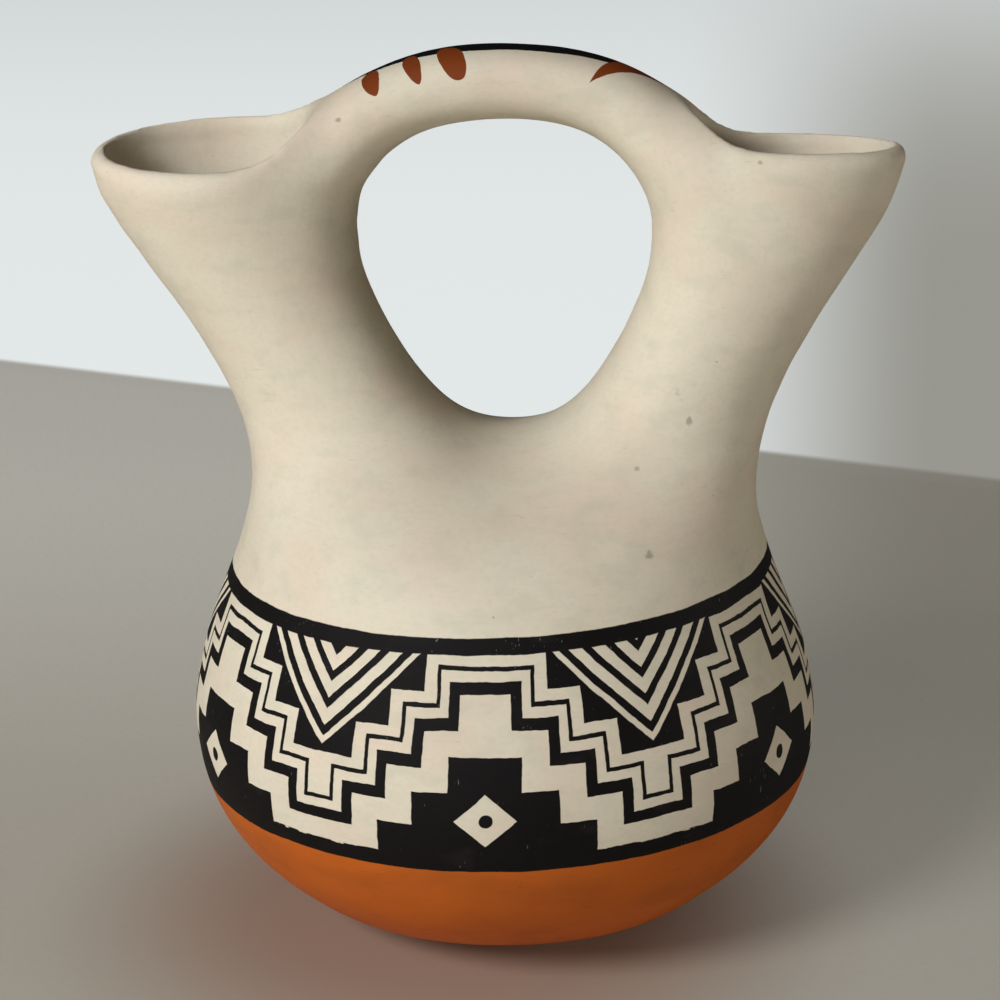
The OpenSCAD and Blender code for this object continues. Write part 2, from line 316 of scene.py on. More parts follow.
class Finish(Graph):
    """One material; the sizes of its patterns are in mm."""

    def __init__(self, name, roughness, shine):
        self.material = bpy.data.materials.new(name)
        super().__init__(self.material)
        self.shader = self.nodes["Principled BSDF"]
        self.shader.inputs["Roughness"].default_value = roughness
        self.shader.inputs["Specular IOR Level"].default_value = shine
        self.place = self.node("ShaderNodeTexCoord").outputs["Object"]

    def parts(self, vector):
        """The three numbers of a place or a colour."""
        apart = self.node("ShaderNodeSeparateXYZ", None, {0: vector})
        return [Tone(self, part) for part in apart.outputs]

    def combined(self, x, y, z):
        """The place that three numbers give."""
        return self.node("ShaderNodeCombineXYZ", None, {0: x, 1: y, 2: z}).outputs[0]

    def clouds(self, spans, detail=2, place=None):
        """Soft noise from 0 to 1, with blots of a length, depth and height; a place is in mm."""
        unit, place = (MM, self.place) if place is None else (1, place)
        stretched = self.node(
            "ShaderNodeVectorMath",
            {"operation": "MULTIPLY"},
            {0: place, 1: [1 / (span * unit) for span in spans]},
        ).outputs[0]
        return self.tone(
            "ShaderNodeTexNoise", None, {"Vector": stretched, "Scale": 1, "Detail": detail}
        )

    def blots(self, spans, detail, shows, strength=1):
        """Those clouds from where they start to show to where they show in full."""
        return self.clouds(spans, detail).ramp(*shows) * strength

    def scratches(self, spans, shows, patches, patches_show, strength):
        """Thin marks of a size, which keep to patches."""
        marks = self.clouds(spans, 1).ramp(*shows)
        return marks * self.clouds(patches).ramp(*patches_show) * strength

    def drift(self, span):
        """Three wandering numbers from -1 to 1, which change over a length in mm."""
        scale = 1 / (span * MM)
        cloud = self.node(
            "ShaderNodeTexNoise", None, {"Vector": self.place, "Scale": scale, "Detail": 1}
        )
        return [part * 2 - 1 for part in self.parts(cloud.outputs["Color"])]

    def specks(self, spacing, size, share, strength):
        """Round specks of a size, on a share of the places that lie a spacing apart."""
        cells = self.node(
            "ShaderNodeTexVoronoi", None, {"Vector": self.place, "Scale": 1 / (spacing * MM)}
        )
        away = Tone(self, cells.outputs["Distance"]) * spacing
        pick, grow = self.parts(cells.outputs["Color"])[:2]
        speck = (away - size * (SMALLEST + grow)).ramp(size / 2, 0)
        return speck * pick.ramp(share + PICKED, share - PICKED) * strength

    def wear(self, colour, roughness, height):
        """Gives the shader its colour, its roughness, and its relief in mm."""
        self.fill(self.shader.inputs["Base Color"], colour)
        self.fill(self.shader.inputs["Roughness"], roughness)
        relief = self.node("ShaderNodeBump", None, {"Distance": MM, "Height": height})
        self.fill(self.shader.inputs["Normal"], relief.outputs[0])


def scaled(share, parts):
    """A share of every part of a colour or of a row of numbers."""
    return [share * part for part in parts]


# Shine of the burnished clay; its roughness, and what the stone's strokes, the clouds of the
# polish and the paint add to it; the relief of the strokes and of the grain
SHINE = 0.16
ROUGHNESS = (0.5, 0.14, 0.1, 0.06)
RELIEF = (0.02, 0.012)
# Size of those clouds and of that grain
POLISH = (12, 12, 12)
GRAIN = (0.5, 0.5, 0.5)
# The stone's strokes round the body, and along the handle, where a turn of one radian along the
# arch counts as so many mm; their detail, where their tone shows, and its strength
STROKES = (6, 6, 0.45)
HANDLE_STROKES = (6, 0.5, 0.5)
STROKE_ARC = 55
STROKE_DETAIL = 3
STROKE_TONE = (0.52, 0.8)
STROKE_STRENGTH = 0.22
# Mottling of the cream slip: size of its blots, their detail, where they start to show and show
# in full, their strength, and the tone that they bring
MOTTLING = (
    ((18, 18, 12), 5, (0.4, 0.68), 0.75, "blush"),
    ((6, 6, 3.5), 6, (0.46, 0.75), 0.45, "ash"),
    ((1.1, 1.1, 0.7), 3, (0.4, 0.75), 0.24, "ash"),
)
# Blots in the red slip, in the paint, in the bare clay and along a ragged edge, by the same
# numbers but without a tone; the edge takes its strength from its line
RED_BLOTS = ((14, 14, 7), 3, (0.4, 0.75), 0.22)
THIN_PAINT = ((7, 7, 5), 3, (0.55, 0.8), 0.6)
BARE_BLOTS = ((20, 20, 4), 3, (0.3, 0.75), 0.5)
RAGGED_EDGE = ((2.2, 2.2, 0.5), 2, (0.45, 0.7))
# How much lighter the paint is where it is thin
THIN_LIFT = 4
# Thin dashes and scratches: size of one, where it shows, size of the patches that they keep to,
# where those show, and their strength
SLIP_DASHES = ((1.9, 1.9, 0.28), (0.68, 0.76), (8, 8, 6), (0.42, 0.6), 0.13)
RED_SCRATCHES = ((4.5, 4.5, 0.22), (0.66, 0.76), (9, 9, 5), (0.45, 0.6), 0.6)
PAINT_SCRATCHES = ((0.25, 0.25, 2.6), (0.72, 0.78), (6, 6, 6), (0.55, 0.62), 0.35)
# Specks: how far apart and how large they are, the share of places with one, and their strength
SLIP_SPECKS = (6, 0.16, 0.4, 0.45)
RED_SPECKS = (2.6, 0.14, 0.35, 0.5)

# Lengths over which the painter's hand strays, wide and fine, and how far it does on the frieze,
# the lines, the drops and the other marks of the handle, the last two in degrees
HAND_SPANS = (8, 1.4)
FRIEZE_HAND = (0.35, 0.12)
LINE_HAND = (0.25, 0.08)
DROP_HAND = (0.5, 0.2)
MARK_HAND = (2, 1)
# Half the width over which a painted edge fades
CRISP = 0.07
# The painted lines round the body: the top of the upper one, the foot of the lower one, their
# widths, how far they climb towards the right, and how ragged the lower one's edge is
UPPER_LINE = (64.1, 2.5, 0.025)
LOWER_LINE = (27.3, 2.9, 0.018)
RAGGED = 0.5
# The frieze between them: its foot, height, climb and repeat, how far it runs under the lines,
# and the radius of the body that carries it
FRIEZE_FOOT = 30
FRIEZE_HEIGHT = 31.6
FRIEZE_CLIMB = 0.02
FRIEZE_REPEAT = 57.6
FRIEZE_LAP = 1
BELLY_R = 55
# One step of its stepped fields; a field's half width and foot at its base, and its steps
STEP_WIDTH = 6
STEP_HEIGHT = 5.5
TERRACE = (18, 0, 3)
# The staircase halfway between the terraces, its half thickness, and the thin line over it
STAIRS = (23.4, 4.8, 4)
STAIRS_HALF = 0.95
THIN_LINE = (2.5, 3.2)
# The chevrons of the hanging terraces: their pitch, their line width and their reach
CHEVRONS = (3.04, 1.25, 11.3)
# The lozenge of the rising terraces: half width, half height, centre, and the dot in it
LOZENGE = (5, 4.4, 6.4, 1.15)

# The handle's marks lie at an angle along the arch, from its crest towards the right, and at an
# angle round the coil, from its crest down either side, both in degrees; level of the arch's
# middle, and radius of the coil's middle line
ARCH_Z = 118
COIL_R = 27
# Crest stripe: its half angle in the middle, where that is, and how it thins
STRIPE = (34, 0.5, 0.0165)
# Drops: place along the arch, slant, top, tip, half width and the two bends of the outline
DROPS = (
    (-36.0, -0.02, 8, 57, 2.7, 0.5, 0.55),
    (-24.9, 0.01, 9, 68, 2.6, 0.5, 0.55),
    (-14.9, 0.045, 4, 77, 4.0, 0.6, 0.42),
)
# Claw: its point along and round the coil, the bend of its back, the two of its edge, and where
# it darkens along the coil, and how much
CLAW_POINT = (28.9, 59)
CLAW_BACK = (39, 2.1)
CLAW_EDGE = (5.6, 0.13)
CLAW_DARK = (3, 15)
CLAW_DARKNESS = 0.85

# Smudges on the cream slip: place, radius and strength; then, as shares of the radius, how far
# their edge strays, and how far out they are dark
SMUDGES = (
    ((25.5, -32.9, 73.4), 0.75, 0.5),
    ((23.4, -21.7, 84.5), 0.6, 0.4),
    ((30.0, -16.2, 95.9), 1.4, 0.3),
    ((31.9, -16.9, 91.5), 0.8, 0.5),
    ((-50.7, 13.7, 130.2), 0.8, 0.5),
    ((-45.2, 14.4, 131.3), 0.7, 0.6),
    ((-25.7, -9.2, 140.0), 0.6, 0.5),
    ((42.8, -15.3, 133.7), 0.6, 0.7),
    ((3.3, -4.4, 150.3), 0.45, 0.8),
)
SMUDGE_HAND = (0.5, 1.3)
SMUDGE_CORE = 1 / 3
# The mark of the inner wall, and the heights over which its slip thins out to bare clay; deep in
# the mouths that darker clay is partly painted shade
INNER = "inner_wall"
SLIP_DEPTH = (130, 112)


class VaseFinish(Finish):
    """A finish of the painted vase; its places are in mm."""

    def __init__(self, name, slip):
        super().__init__(name, ROUGHNESS[0], SHINE)
        self.slip = slip
        metres = self.parts(self.place)
        self.x, self.y, self.z = [part / MM for part in metres]
        self.wide, self.fine = [self.drift(span) for span in HAND_SPANS]

    def hand(self, part, strays=FRIEZE_HAND):
        """How far the painter's hand strays; each part is a course of its own."""
        wide, fine = strays
        return self.wide[part] * wide + self.fine[part] * fine

    def strokes(self):
        """The fine strokes that the burnishing stone leaves round the body."""
        return self.clouds(STROKES, STROKE_DETAIL)

    def handle_strokes(self):
        """The same along the handle."""
        place = self.combined(self.along * (STROKE_ARC / DEGREES), self.y, self.reach)
        return self.clouds(HANDLE_STROKES, STROKE_DETAIL, place)

    def arch(self):
        """Works out the two angles on the handle, and the distance from the arch's middle."""
        rise = self.z - ARCH_Z
        self.reach = self.maths("SQRT", self.x * self.x + rise * rise)
        self.along = self.maths("ARCTAN2", self.x, rise) * DEGREES
        self.round = self.maths("ARCTAN2", abs(self.y), self.reach - COIL_R) * DEGREES

    def cream_slip(self, strokes):
        """Cream slip with its mottling, strokes, dashes and specks."""
        slip, colour = self.slip, self.slip.cream
        for *blots, tone in MOTTLING:
            colour = self.mix(self.blots(*blots), colour, getattr(slip, tone))
        colour = self.mix(strokes.ramp(*STROKE_TONE) * STROKE_STRENGTH, colour, slip.ash)
        colour = self.mix(self.scratches(*SLIP_DASHES), colour, slip.smoke)
        return self.mix(self.specks(*SLIP_SPECKS), colour, slip.smoke)

    def smudged(self, colour):
        """The same slip with its smudges."""
        for spot, size, strength in SMUDGES:
            ends = {0: self.place, 1: Vector(spot) * MM}
            away = self.tone("ShaderNodeVectorMath", {"operation": "DISTANCE"}, ends, "Value") / MM
            away = away + self.hand(1, scaled(size, SMUDGE_HAND))
            dark = away.ramp(size, size * SMUDGE_CORE) * strength
            colour = self.mix(dark, colour, self.slip.smoke)
        return colour

    def red_slip(self, base):
        """Red slip with its clouds, scratches and specks."""
        umber = self.slip.umber
        colour = self.mix(self.blots(*RED_BLOTS), base, umber)
        colour = self.mix(self.scratches(*RED_SCRATCHES), colour, umber)
        return self.mix(self.specks(*RED_SPECKS), colour, umber)

    def black_paint(self):
        """Black paint, thinner in places, with a few light scratches."""
        black = self.slip.black
        colour = self.mix(self.blots(*THIN_PAINT), black, scaled(THIN_LIFT, black))
        return self.mix(self.scratches(*PAINT_SCRATCHES), colour, self.slip.ash)

    def level(self, climb):
        """Height over a level that climbs towards the right, as the painter keeps to it."""
        return self.z - climb * self.x + self.hand(0, LINE_HAND)

    def line(self, top, width, climb, ragged=0):
        """A line round the body, from its top down."""
        height = self.level(climb)
        brush = self.blots(*RAGGED_EDGE, ragged) if ragged else 0
        return (height - top + brush).under(0) * (top - width - height).under(0)

    def terraces(self, across, up, field, grow=0):
        """A stepped field, whose edge is moved out by some mm."""
        half, foot, steps = field
        step = ((up - (foot + grow)) / STEP_HEIGHT).floor()
        stepped = across.under(half + grow - STEP_WIDTH * step)
        return stepped * up.under(foot + grow + steps * STEP_HEIGHT) | up.under(foot + grow)

    def stairs_band(self, across, up, inner, outer):
        """A line along the staircase, between two distances from it."""
        within = self.terraces(across, up, STAIRS, inner)
        return self.terraces(across, up, STAIRS, outer) * (1 - within)

    def frieze(self):
        """The frieze's black: stepped terraces that rise and hang, and a staircase between them."""
        around = self.maths("ARCTAN2", self.x, -1 * self.y) * BELLY_R + self.hand(1)
        up = self.z - FRIEZE_FOOT - FRIEZE_CLIMB * self.x + self.hand(2)
        half = FRIEZE_REPEAT / 2
        across = abs(around.wrap(-half, half))
        back, down = half - across, FRIEZE_HEIGHT - up

        wide, tall, centre, dot = LOZENGE
        lozenge = ((across / wide + abs(up - centre) / tall - 1) * tall).under(0)
        eye = self.maths("SQRT", across * across + (up - centre) * (up - centre)).under(dot)
        rising = self.terraces(across, up, TERRACE) * (1 - lozenge) | eye

        pitch, width, reach = CHEVRONS
        slope = (back * STEP_HEIGHT + down * STEP_WIDTH) / math.hypot(STEP_HEIGHT, STEP_WIDTH)
        gaps = slope.under(reach) * (width - slope.wrap(0, pitch)).under(0)
        hanging = self.terraces(back, down, TERRACE) * (1 - gaps)

        stairs = self.stairs_band(across, up, -STAIRS_HALF, STAIRS_HALF)
        black = rising | hanging | stairs | self.stairs_band(across, up, *THIN_LINE)
        low = (FRIEZE_FOOT - FRIEZE_LAP + FRIEZE_CLIMB * self.x - self.z).under(0)
        top = FRIEZE_FOOT + FRIEZE_HEIGHT + FRIEZE_LAP
        return black * low * (self.z - top - FRIEZE_CLIMB * self.x).under(0)

    def drop(self, place, slant, top, tip, half, swell, taper):
        """A drop that hangs from the crest of the handle."""
        span = {"Value": self.round, "From Min": top, "From Max": tip}
        share = self.tone("ShaderNodeMapRange", None, span)
        peak = (swell / (swell + taper)) ** swell * (taper / (swell + taper)) ** taper
        outline = share**swell * (1 - share) ** taper * (half / peak)
        middle = place + slant * (self.round - top)
        return (abs(self.along + self.hand(0, DROP_HAND) - middle) - outline + 2 * CRISP).under(0)

    def stripe(self):
        """The black stripe along the crest of the handle."""
        half, middle, thin = STRIPE
        away = self.along - middle
        return (self.round + self.hand(1, MARK_HAND) - half + thin * away * away).under(0)

    def drops(self):
        """The red drops beside the stripe."""
        first, second, third = [self.drop(*drop) for drop in DROPS]
        return first | second | third

    def claw(self):
        """The red claw on the crest, and where it darkens."""
        point, low = CLAW_POINT
        reach, bend = CLAW_BACK
        slope, curve = CLAW_EDGE
        share = (low - self.round) / reach
        on = self.along - point
        back = (bend * share * share - on).under(0)
        edge = self.round + self.hand(2, MARK_HAND) - low + slope * on - curve * on * on
        claw = back * edge.under(0) * (on - slope / curve / 2).under(0)
        return claw, on.ramp(*CLAW_DARK) * CLAW_DARKNESS


def finish_of(name, slip, bowl=False, panel=False, crest=False):
    """A finish with the slips and the paint that a stretch of the vase carries."""
    made = VaseFinish(name, slip)
    if crest:
        made.arch()
    strokes = made.handle_strokes() if crest else made.strokes()
    colour = made.smudged(made.cream_slip(strokes))
    paint = made.line(*UPPER_LINE)
    if bowl or panel:
        foot, width, climb = LOWER_LINE
        dipped = made.level(climb).under(foot + width / 2)
        colour = made.mix(dipped, colour, made.red_slip(slip.terracotta))
        paint = paint | made.line(foot + width, width, climb, RAGGED)
    if panel:
        paint = paint | made.frieze()
    if crest:
        paint = paint | made.stripe()
    colour = made.mix(paint, colour, made.black_paint())
    if crest:
        red = made.red_slip(slip.rust)
        claw, dark = made.claw()
        colour = made.mix(made.drops(), colour, red)
        colour = made.mix(claw, colour, made.mix(dark, red, slip.umber))
    # Bare clay on the inner wall; deep in the mouths its darkness is partly painted shade
    inner = made.tone("ShaderNodeAttribute", {"attribute_name": INNER}, None, "Fac")
    bare = made.mix(made.blots(*BARE_BLOTS), slip.clay, slip.umber)
    colour = made.mix(inner * made.z.ramp(*SLIP_DEPTH), colour, bare)
    smooth, by_strokes, by_polish, by_paint = ROUGHNESS
    roughness = smooth + by_strokes * strokes + by_polish * made.clouds(POLISH) + by_paint * paint
    by_strokes, by_grain = RELIEF
    made.wear(colour, roughness, strokes * by_strokes + made.clouds(GRAIN) * by_grain)
    return made.material


def build_object(name, data):
    """An object of a mesh, a lamp or a lens, in the scene."""
    made = bpy.data.objects.new(name, data)
    bpy.context.scene.collection.objects.link(made)
    return made


def evaluated(source):
    """The object's mesh with its modifiers worked in."""
    graph = bpy.context.evaluated_depsgraph_get()
    return bpy.data.meshes.new_from_object(source.evaluated_get(graph), depsgraph=graph)


# Names of the smoothed clay, and of the normals that its pieces keep along their cuts
CLAY = "clay"
SKIN = "skin_normal"
# Angles over which an edge belongs to a lip, and up to which facets are joined to larger ones
LIP_ANGLE = math.radians(25)
FACET_ANGLE = math.radians(40)
# Distance from the middle at which the lips have run into the roots of the handle
ROOT_X = 35 * MM
# How far one rub moves a point towards the middle of its neighbours
RUB = 0.5


def joined_solids():
    """Copies of the solids as one vessel, without the faces inside their joints."""
    vessel = bmesh.new()
    for name in NODES:
        vessel.from_mesh(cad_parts[name].data)
    bmesh.ops.remove_doubles(vessel, verts=vessel.verts[:], dist=WELD)
    hidden = [
        face
        for face in vessel.faces
        if any(all(abs(joint.height(v.co)) < FLAT for v in face.verts) for joint in ALL_JOINTS)
    ]
    bmesh.ops.delete(vessel, geom=hidden, context="FACES_ONLY")
    return vessel


def lip_points(vessel):
    """A search tree of the points where the clay turns sharply: the lips and the foot's edge."""
    sharp = {v for e in vessel.edges if e.calc_face_angle(0) > LIP_ANGLE for v in e.verts}
    sharp = {vert for vert in sharp if abs(vert.co.x) > ROOT_X or vert.co.z < BOWL_TOP}
    tree = kdtree.KDTree(len(sharp))
    for index, vert in enumerate(sharp):
        tree.insert(vert.co, index)
    tree.balance()
    return tree


def ease(share):
    """0 up to 0 and 1 from 1 on, with a soft way between."""
    share = min(max(share, 0), 1)
    return share * share * (3 - 2 * share)


def smoothed_clay(clay):
    """One smooth skin of the whole vase, in faces of even size."""
    vessel = joined_solids()
    lips = lip_points(vessel)
    bmesh.ops.join_triangles(
        vessel,
        faces=vessel.faces[:],
        angle_face_threshold=FACET_ANGLE,
        angle_shape_threshold=math.pi,
    )
    rough = bpy.data.meshes.new("rough_clay")
    vessel.to_mesh(rough)
    vessel.free()
    lump = build_object("clay_lump", rough)
    soften = lump.modifiers.new("soften", "SUBSURF")
    soften.levels = soften.render_levels = 1
    remesh = lump.modifiers.new("grain", "REMESH")
    remesh.mode = "VOXEL"
    remesh.voxel_size = clay.grain
    lump.data = evaluated(lump)
    lump.modifiers.clear()
    bpy.data.meshes.remove(rough)

    rubbed = lump.vertex_groups.new(name="rubbed")
    for vert in lump.data.vertices:
        away = lips.find(vert.co)[2] / clay.lip_reach
        rubbed.add([vert.index], clay.lip_share + (1 - clay.lip_share) * ease(away), "REPLACE")
    rub = lump.modifiers.new("rub", "SMOOTH")
    rub.factor = RUB
    rub.iterations = clay.passes
    rub.vertex_group = rubbed.name
    smooth = evaluated(lump)
    smooth.name = CLAY
    spare = lump.data
    bpy.data.objects.remove(lump)
    bpy.data.meshes.remove(spare)
    return smooth, lips


# Sideways lean of the hand built clay by height, both in mm: of the body, and of each side over
# the saddle
BODY_LEAN = {30: 0, 45: -0.25, 57: -0.5, 69: -0.25, 80: 0}
LEFT_LEAN = {85: 0, 95: 0, 108: 0.2, 117: -0.2, 122: -0.6, 127: -0.9, 132: -0.3, 135: 0}
RIGHT_LEAN = {85: 0, 92: -0.2, 100: -0.5, 108: -0.9, 116: -0.9, 124: -0.6, 135: -1.1, 143: 0}
# Distance from the middle at which a side leans in full
LEAN_REACH = 15 * MM
# Height of the swell over the foot, and how far it spreads
HEEL_Z = 5 * MM
HEEL_SPAN = 5 * MM
# How much smaller than the soft hollows the finer ones among them are, and their share in depth
FINE_HOLLOWS = (2.3, 0.4)
# Middle of a mouth, lowest and innermost place where its lip is drawn thin, and how that fades
MOUTH_X = 47 * MM
LIP_LOW = 112 * MM
LIP_INNER = 27 * MM
LIP_FADE = 10 * MM


def lip_draw(spot, normal):
    """How far the inside of a lip is drawn outwards, from 0 to 1, and which way."""
    outward = Vector((spot.x - math.copysign(MOUTH_X, spot.x), spot.y, 0)).normalized()
    inside = max(-normal.dot(outward), 0)
    inside *= ease((spot.z - LIP_LOW) / LIP_FADE) * ease((abs(spot.x) - LIP_INNER) / LIP_FADE)
    return inside * outward


def lean_at(leans, height):
    """Lean at a height, eased between the nearest two that have one."""
    for (low, start), (high, end) in pairwise(leans.items()):
        if low * MM <= height <= high * MM:
            return MM * (start + (end - start) * ease((height / MM - low) / (high - low)))
    return 0


def work_clay(mesh, lips, clay):
    """Gives the skin the lean, the swell and the soft hollows of hand work."""
    low, high = CAD_BOX
    finer, depth = FINE_HOLLOWS
    normals = [vert.normal.copy() for vert in mesh.vertices]
    for vert, normal in zip(mesh.vertices, normals):
        spot = vert.co
        side = LEFT_LEAN if spot.x < 0 else RIGHT_LEAN
        lean = lean_at(BODY_LEAN, spot.z) + lean_at(side, spot.z) * ease(abs(spot.x) / LEAN_REACH)
        swell = clay.heel * ease(1 - abs(spot.z - HEEL_Z) / HEEL_SPAN)
        outward = Vector((spot.x, spot.y, 0)).normalized()
        outward *= abs(outward.x)
        place = spot / clay.wander_span
        hollow = noise.noise(place) + depth * noise.noise(place * finer)
        hollow *= ease(lips.find(spot)[2] / clay.lip_reach) * ease(spot.z / HEEL_Z)
        moved = spot + Vector((lean, 0, 0)) + outward * swell + normal * (clay.wander * hollow)
        moved += lip_draw(spot, normal) * clay.lip_thinning
        vert.co = [min(max(a, b), c) for a, b, c in zip(moved, low, high)]
    mesh.update()


def mark_clay(mesh):
    """Keeps the skin's normals, and marks the inner wall, with clay before it and behind it."""
    mesh.attributes.new(SKIN, "FLOAT_VECTOR", "POINT")
    mesh.attributes.new(INNER, "FLOAT", "POINT")
    skin, inner = mesh.attributes[SKIN].data, mesh.attributes[INNER].data
    faces = [tuple(face.vertices) for face in mesh.polygons]
    tree = bvhtree.BVHTree.FromPolygons([vert.co for vert in mesh.vertices], faces)
    for index, vert in enumerate(mesh.vertices):
        skin[index].vector = vert.normal
        spot = vert.co + vert.normal * FLAT
        inner[index].value = float(all(tree.ray_cast(spot, (0, way, 0))[0] for way in (-1, 1)))


class VASE_OT_clay(bpy.types.Operator):
    """Smooth the solids of the vase into one skin of clay, from which the pieces are cut"""

    bl_idname = "vase.clay"
    bl_label = "Smooth the Clay"

    def execute(self, context):
        clay = context.scene.vase_clay
        mesh, lips = smoothed_clay(clay)
        work_clay(mesh, lips, clay)
        mark_clay(mesh)
        mesh.use_fake_user = True
        return {"FINISHED"}


def cut_piece(name, joints, finish):
    """Cuts a piece out of the clay, closes it at its joints and lets it ride on the vase's body."""
    clay = bpy.data.meshes.get(CLAY)
    if clay is None:
        raise RuntimeError("Smooth the clay before cutting a piece from it")
    cut = bmesh.new()
    cut.from_mesh(clay)
    for face in cut.faces:
        face.smooth = True
    for joint in joints:
        bmesh.ops.bisect_plane(
            cut,
            geom=cut.verts[:] + cut.edges[:] + cut.faces[:],
            dist=WELD,
            plane_co=joint.place,
            plane_no=joint.normal,
            clear_outer=True,
        )
        rim = [edge for edge in cut.edges if edge.is_boundary]
        filled = bmesh.ops.triangle_fill(cut, edges=rim, normal=joint.normal, use_beauty=True)
        for item in filled["geom"]:
            if isinstance(item, bmesh.types.BMFace):
                item.smooth = False
    mesh = bpy.data.meshes.new(name)
    cut.to_mesh(mesh)
    cut.free()

    skin = mesh.attributes[SKIN].data
    corners = []
    for face in mesh.polygons:
        for corner in face.loop_indices:
            vert = mesh.loops[corner].vertex_index
            corners.append(skin[vert].vector.normalized() if face.use_smooth else face.normal)
    mesh.normals_split_custom_set(corners)
    mesh.attributes.remove(mesh.attributes[SKIN])
    mesh.materials.append(finish)
    piece = build_object(name + "_clay", mesh)
    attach(piece, BODY)
    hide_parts(name)
    return piece


class VASE_OT_bowl(bpy.types.Operator):
    """Cut the bowl of the vase and dip it in terracotta slip"""

    bl_idname = "vase.bowl"
    bl_label = "Bowl"

    def execute(self, context):
        slip = context.scene.vase_slip
        finish = finish_of("terracotta_slip", slip, bowl=True)
        cut_piece("base_bowl", [BOWL_JOINT], finish)
        return {"FINISHED"}


class VASE_OT_wall(bpy.types.Operator):
    """Cut the round wall and paint its band"""

    bl_idname = "vase.wall"
    bl_label = "Painted Wall"

    def execute(self, context):
        slip = context.scene.vase_slip
        finish = finish_of("painted_slip", slip, panel=True)
        cut_piece("body_wall", [BOWL_JOINT.turned(), WALL_JOINT], finish)
        return {"FINISHED"}


class VASE_OT_shoulder(bpy.types.Operator):
    """Cut the shoulder with its saddle between the necks"""

    bl_idname = "vase.shoulder"
    bl_label = "Shoulder"

    def execute(self, context):
        slip = context.scene.vase_slip
        finish = finish_of("cream_slip", slip)
        joints = [WALL_JOINT.turned(), LEFT_NECK, RIGHT_NECK]
        cut_piece("shoulder", joints, finish)
        return {"FINISHED"}


class VASE_OT_spouts(bpy.types.Operator):
    """Cut the two spouts with their flares and lips"""

    bl_idname = "vase.spouts"
    bl_label = "Spouts"

    def execute(self, context):
        slip = context.scene.vase_slip
        finish = finish_of("spout_slip", slip, crest=True)
        cut_piece("left_spout", [LEFT_NECK.turned(), LEFT_COIL], finish)
        cut_piece("right_spout", [RIGHT_NECK.turned(), RIGHT_COIL], finish)
        return {"FINISHED"}


class VASE_OT_handle(bpy.types.Operator):
    """Cut the arched handle and paint its crest"""

    bl_idname = "vase.handle"
    bl_label = "Handle"

    def execute(self, context):
        slip = context.scene.vase_slip
        finish = finish_of("handle_slip", slip, crest=True)
        joints = [LEFT_COIL.turned(), RIGHT_COIL.turned()]
        cut_piece("handle", joints, finish)
        return {"FINISHED"}


# Width of the camera's picture, in mm
SENSOR = 36


def make_camera(stage):
    """The camera at the photograph's place."""
    lens = bpy.data.cameras.new("camera")
    lens.lens = stage.lens
    lens.sensor_width = SENSOR
    camera = build_object("camera", lens)
    reach, rise = math.cos(stage.elevation), math.sin(stage.elevation)
    back = Vector((math.sin(stage.azimuth) * reach, -math.cos(stage.azimuth) * reach, rise))
    level = Vector((math.cos(stage.azimuth), math.sin(stage.azimuth), 0))
    up = back.cross(level)
    right = level * math.cos(stage.roll) + up * math.sin(stage.roll)
    turn = Matrix((right, back.cross(right), back)).transposed()
    place = Vector(stage.aim) + back * stage.distance
    camera.matrix_world = Matrix.Translation(place) @ turn.to_4x4()
    bpy.context.scene.camera = camera
    return camera


def make_lamp(name, place, aim, size, power, colour):
    """A round lamp that shines towards its aim."""
    lamp = bpy.data.lights.new(name, "AREA")
    lamp.shape = "DISK"
    lamp.size = size
    lamp.energy = power
    lamp.color = colour
    made = build_object(name, lamp)
    made.visible_camera = False
    made.location = place
    made.rotation_euler = (Vector(place) - Vector(aim)).to_track_quat("Z", "Y").to_euler()


# Half the width of the table, in m
TABLE_SIZE = 3
# Its roughness and its shine
TABLE_SURFACE = (0.75, 0.15)
# Its grain: size of the blots, their detail and where they show; its strength in the colour and
# in the painted light and shade of the table, and how dark it is there
TABLE_GRAIN = ((1.6, 0.7, 1), 3, (0.3, 0.8))
GRAIN_STRENGTH = (0.1, 0.12)
GRAIN_DARK = 0.3
# Where the pale ground starts: the direction across its edge, and its distance in mm; and half
# the width in mm over which it sets in
FAR_EDGE = (0.384, 0.923, 278.8)
FAR_FADE = 3
# A painted shadow line in front of that edge, where the pale ground meets the table: how far and
# half how wide in mm, its strength, and the share of the shade in it
CORNER_SHADOW = (5, 4, 0.5, 0.35)
# How the grounds darken to the right in painted shade: sideways per forward step from the camera's
# foot
SHADE_SPAN = (-0.06, 0.13)
FAR_SHADE_SPAN = (0, 0.12)
# Distance in mm in front of the camera that it doesn't see; nearer and behind, the shade spreads
BLIND = 300
# Distances in mm from the camera, over which the pale ground dims to a share in painted shade, and
# its painted shade to the right lifts by another
LIFT_SPAN = (900, 2200)
FAR_DIM = 0.86
FAR_LIFT = 0.72
# The bowl's painted warm shade and red bounce light on the table, in mm: its middle, reach and
# fading edge; its tone, the strength of that in the colour, and the share of it in the table's
# painted glow
WARM_SHADE = (-10, -10, 28, 52)
WARM_TONE = (0.5, 0.27, 0.17)
WARM_STRENGTH = 0.5
WARM_DARK = 0.12
# Share of a ground's tone that glows as painted light and shade: on the table, and far behind it
GLOW = 0.42
FAR_GLOW = 0.9
# Those tones on the table, which are painted light and shade, left and right: in front of the vase
# and behind it, and the distances in mm from the camera between which they change
FRONT_PAINTED_SHADING = ((0.27, 0.245, 0.205), (0.45, 0.43, 0.375))
BACK_PAINTED_SHADING = ((0.65, 0.64, 0.58), (0.33, 0.31, 0.265))
DEPTH_SPAN = (360, 660)


